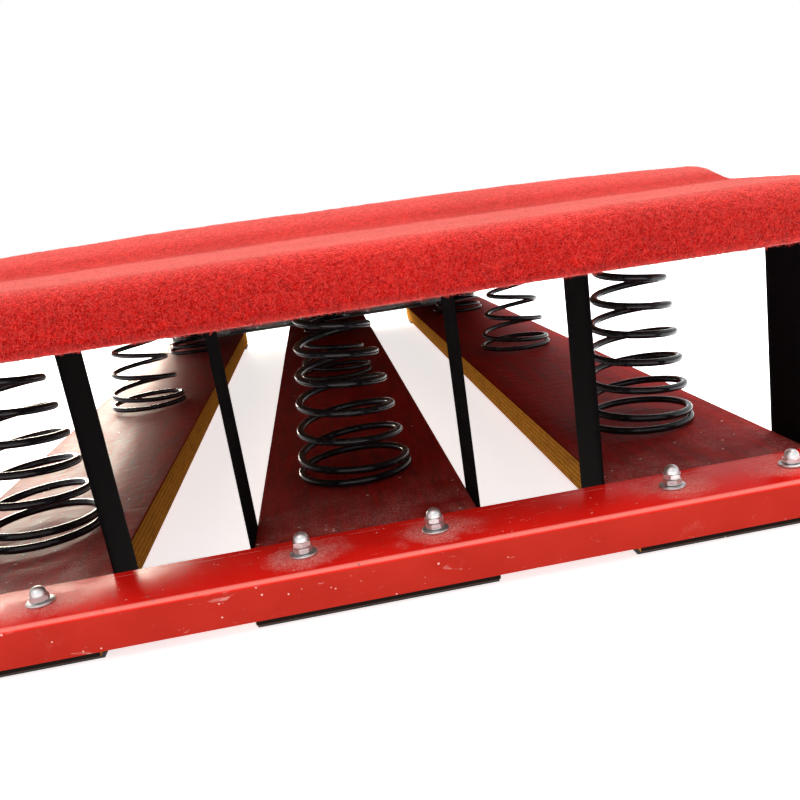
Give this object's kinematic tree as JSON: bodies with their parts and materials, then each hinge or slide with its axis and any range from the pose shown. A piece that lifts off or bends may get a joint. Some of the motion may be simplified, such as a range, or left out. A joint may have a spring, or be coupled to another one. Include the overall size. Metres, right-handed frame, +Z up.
{
  "type": "springboard",
  "caption": "Gymnastics springboard: carpeted take-off deck hinged over three base boards, on conical springs, held down by webbing straps.",
  "frame": {"origin": "centre of the footprint, on the floor", "axes": "+Z up, +Y from the high take-off end to the low run-up end, +X to the right as seen from the high end"},
  "size_m": [0.6046, 1.2, 0.2235],
  "materials": {
    "stained_ply": "dark red stained plywood, satin varnish, bare laminated edges",
    "bare_ply": "bare birch plywood",
    "red_enamel": "gloss red enamel on steel",
    "black_rubber": "matt rubber",
    "black_wire": "gloss black coated spring wire",
    "zinc": "bright zinc plate",
    "webbing": "black twill webbing",
    "foam": "closed-cell foam",
    "carpet_felt": "bright red needle-felt carpet"
  },
  "bodies": {
    "base": {"base_board_left": "stained_ply", "base_board_middle": "stained_ply", "base_board_right": "stained_ply", "front_angle": "red_enamel", "front_pad_left": "black_rubber", "front_pad_middle": "black_rubber", "front_pad_right": "black_rubber", "rear_pad_left": "black_rubber", "rear_pad_middle": "black_rubber", "rear_pad_right": "black_rubber", "front_bolt_1": "zinc", "washer_1": "zinc", "acorn_nut_1": "zinc", "rear_screw_1": "zinc", "front_bolt_2": "zinc", "washer_2": "zinc", "acorn_nut_2": "zinc", "rear_screw_2": "zinc", "front_bolt_3": "zinc", "washer_3": "zinc", "acorn_nut_3": "zinc", "rear_screw_3": "zinc", "front_bolt_4": "zinc", "washer_4": "zinc", "acorn_nut_4": "zinc", "rear_screw_4": "zinc", "front_bolt_5": "zinc", "washer_5": "zinc", "acorn_nut_5": "zinc", "rear_screw_5": "zinc", "front_bolt_6": "zinc", "washer_6": "zinc", "acorn_nut_6": "zinc", "rear_screw_6": "zinc", "jam_nut_3": "zinc", "jam_nut_4": "zinc", "jam_nut_5": "zinc", "spring_front_left": "black_wire", "spring_front_middle": "black_wire", "spring_front_right": "black_wire", "spring_mid_left": "black_wire", "spring_mid_middle": "black_wire", "spring_mid_right": "black_wire", "spring_rear_left": "black_wire", "spring_rear_middle": "black_wire", "spring_rear_right": "black_wire", "strap_left": "webbing", "strap_middle": "webbing", "strap_right": "webbing", "hinge_leaf_lower": "zinc", "hinge_pin": "zinc"},
    "deck": {"deck_panel": "bare_ply", "deck_foam": "foam", "deck_carpet": "carpet_felt", "hinge_leaf_upper": "zinc", "strap_clamp_left": "zinc", "strap_clamp_middle": "zinc", "strap_clamp_right": "zinc"}
  },
  "joints": [
    {"name": "deck_press", "type": "hinge", "parent": "base", "child": "deck", "pos_m": [0, 0.594, 0.0328], "axis": [1, 0, 0], "range_deg": [0, 4], "stiffness_Nm_per_rad": 18000, "springref_deg": -0.69, "deforming": ["spring_front_left", "spring_front_middle", "spring_front_right", "spring_mid_left", "spring_mid_middle", "spring_mid_right", "spring_rear_left", "spring_rear_middle", "spring_rear_right", "strap_left", "strap_middle", "strap_right"]}
  ]
}
